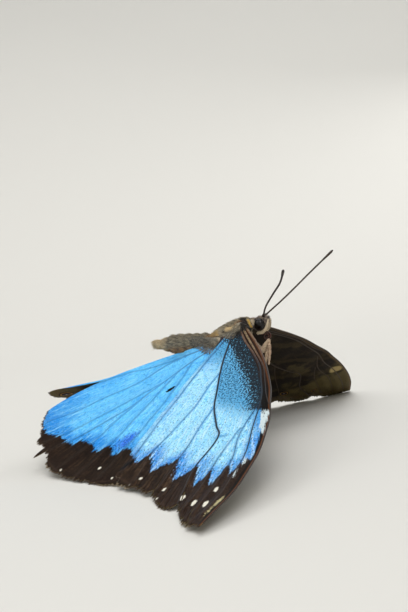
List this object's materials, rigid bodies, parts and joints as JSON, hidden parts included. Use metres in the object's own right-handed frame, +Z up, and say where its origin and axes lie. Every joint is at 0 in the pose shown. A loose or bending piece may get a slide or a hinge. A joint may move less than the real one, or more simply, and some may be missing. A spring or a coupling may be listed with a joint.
{
  "type": "blue morpho butterfly",
  "caption": "Life-size still model of a worn blue morpho butterfly standing on its legs, antennae forward, wings spread and drooping to the floor.",
  "frame": {"origin": "on the floor, under the middle of the whole animal's bounding box", "axes": "+X forward along the body, +Y to the animal's left, +Z up"},
  "size_m": [0.0722, 0.1406, 0.0413],
  "materials": {
    "body_fur": "short matt grey-brown hair",
    "eye": "glossy dark brown",
    "palp": "matt cream scales",
    "horn": "satin dark brown",
    "leg": "matt tan scales",
    "forewing": "satin iridescent blue with a dark brown margin",
    "hindwing": "satin iridescent blue with a dark brown margin"
  },
  "bodies": {
    "root": {"abdomen": "body_fur", "antenna_left": "horn", "antenna_right": "horn", "eye_left": "eye", "eye_right": "eye", "foreleg_left": "leg", "foreleg_right": "leg", "forewing_left": "forewing", "forewing_right": "forewing", "head": "body_fur", "hindleg_left": "leg", "hindleg_right": "leg", "hindwing_left": "hindwing", "hindwing_right": "hindwing", "midleg_left": "leg", "midleg_right": "leg", "palp_left": "palp", "palp_right": "palp", "proboscis": "horn", "thorax": "body_fur"}
  },
  "joints": []
}
